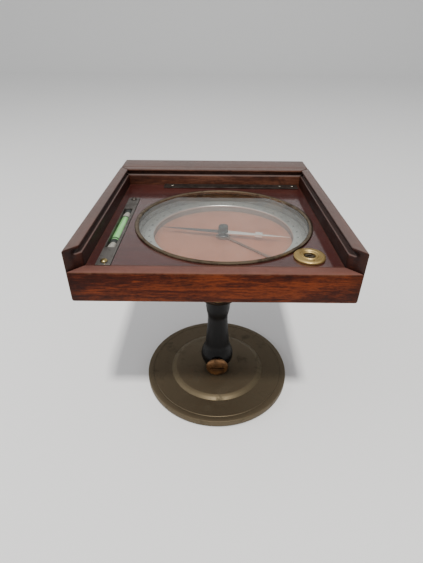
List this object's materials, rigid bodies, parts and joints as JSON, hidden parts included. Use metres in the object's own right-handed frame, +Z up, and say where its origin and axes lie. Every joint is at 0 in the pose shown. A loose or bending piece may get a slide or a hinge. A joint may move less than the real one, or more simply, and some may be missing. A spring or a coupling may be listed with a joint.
{
  "type": "ship compass",
  "caption": "Large needle compass with an arrest, level and swinging sight bar, let into an open mahogany case on a ball-headed column with a round metal base.",
  "frame": {"origin": "centre of the felt under the round base", "axes": "+Z up along the column, +X to the right of the dial, +Y towards the sight bar at the back"},
  "size_m": [0.2, 0.2191, 0.2036],
  "materials": {
    "black_lacquer": "turned wood, glossy black",
    "blued_steel": "blue-grey, partly polished",
    "brass": "worn yellow brass",
    "bronze": "dark patinated bronze with fine turning marks",
    "copper_card": "matt salmon-coloured copper",
    "dark_brass": "brass darkened by age",
    "deck": "glossy red-brown veneer",
    "felt": "green baize",
    "glass": "clear polished glass",
    "mahogany": "polished red-brown mahogany, worn dark at the corners",
    "silvered": "matt silvered brass",
    "steel": "grey, lightly worn",
    "vial_cap": "whitish plaster end",
    "vial_green": "glass filled with green spirit"
  },
  "bodies": {
    "base": {"base_disc": "bronze", "base_felt": "felt", "swivel_post": "steel", "post_nut": "steel"},
    "column": {"column": "black_lacquer", "foot_ring": "brass", "clamp_bush": "brass", "socket_cup": "dark_brass"},
    "clamp_screw": {"clamp_screw": "brass"},
    "clamp_collar": {"clamp_collar": "brass"},
    "ball": {"head_ball": "brass"},
    "case": {"head_stem": "brass", "head_flange": "dark_brass", "flange_screw_1": "brass", "flange_screw_2": "brass", "flange_screw_3": "brass", "case_bottom": "mahogany", "case_front": "mahogany", "case_back": "mahogany", "case_left": "mahogany", "case_right": "mahogany", "deck": "deck", "deck_batten_left": "mahogany", "deck_batten_right": "mahogany", "bowl": "dark_brass", "glass": "glass", "bezel": "dark_brass", "chapter_ring": "silvered", "spacer_ring": "black_lacquer", "card": "copper_card", "pivot_pin": "steel", "rosette": "brass", "lever_bearing_left": "brass", "lever_bearing_right": "brass", "arrest_spring": "brass", "level_bar": "steel", "level_vial": "vial_green", "vial_cap_front": "vial_cap", "vial_cap_back": "vial_cap", "level_block_front": "mahogany", "level_block_back": "mahogany", "level_screw_front": "brass", "level_screw_back": "brass", "cross_bar": "steel", "cross_screw_1": "steel", "cross_screw_2": "steel", "cross_screw_3": "steel"},
    "sight": {"sight_bar": "mahogany", "sight_bolt": "steel", "sight_nut": "brass", "eye_plate": "brass", "window_plate": "brass", "sight_hair": "steel"},
    "arrest_knob": {"arrest_knob": "brass"},
    "arrest_lever": {"arrest_lever": "brass"},
    "lift_sleeve": {"lift_sleeve": "blued_steel"},
    "needle": {"needle": "blued_steel", "needle_cap": "blued_steel", "needle_weight": "brass"}
  },
  "joints": [
    {"name": "column_swivel", "type": "hinge", "parent": "base", "child": "column", "pos_m": [0, 0, 0.0133], "axis": [0, 0, 1], "continuous": true},
    {"name": "clamp_screw_turn", "type": "hinge", "parent": "column", "child": "clamp_screw", "pos_m": [0, 0, 0.0237], "axis": [0, -1, 0], "range_deg": [0, 360]},
    {"name": "collar_turn", "type": "hinge", "parent": "column", "child": "clamp_collar", "pos_m": [0, 0, 0.12], "axis": [0, 0, 1], "range_deg": [0, 90]},
    {"name": "ball_tilt_x", "type": "hinge", "parent": "column", "child": "ball", "pos_m": [0, 0, 0.12], "axis": [1, 0, 0], "range_deg": [-20, 20]},
    {"name": "ball_tilt_y", "type": "hinge", "parent": "ball", "child": "case", "pos_m": [0, 0, 0.12], "axis": [0, 1, 0], "range_deg": [-20, 20]},
    {"name": "sight_swing", "type": "hinge", "parent": "case", "child": "sight", "pos_m": [-0.0045, 0.0959, 0.1786], "axis": [0, 1, 0], "range_deg": [-30, 30]},
    {"name": "arrest_turn", "type": "hinge", "parent": "case", "child": "arrest_knob", "pos_m": [0.0635, -0.0718, 0.2036], "axis": [0, 0, 1], "range_deg": [0, 90]},
    {"name": "lever_rock", "type": "hinge", "parent": "case", "child": "arrest_lever", "pos_m": [0.04744, -0.05516, 0.17355], "axis": [0.7196, 0.6944, 0], "range_deg": [0, 1.07], "deforming": ["arrest_spring"]},
    {"name": "sleeve_lift", "type": "slide", "parent": "case", "child": "lift_sleeve", "axis": [0, 0, 1], "range_m": [0, 0.0012]},
    {"name": "needle_spin", "type": "hinge", "parent": "lift_sleeve", "child": "needle", "pos_m": [0.003, -0.0091, 0.2036], "axis": [0, 0, 1], "continuous": true}
  ],
  "couplings": [
    {"joint": "arrest_turn", "follows": "lever_rock", "ratio": 84},
    {"joint": "sleeve_lift", "follows": "lever_rock", "m_per_rad": 0.064}
  ]
}
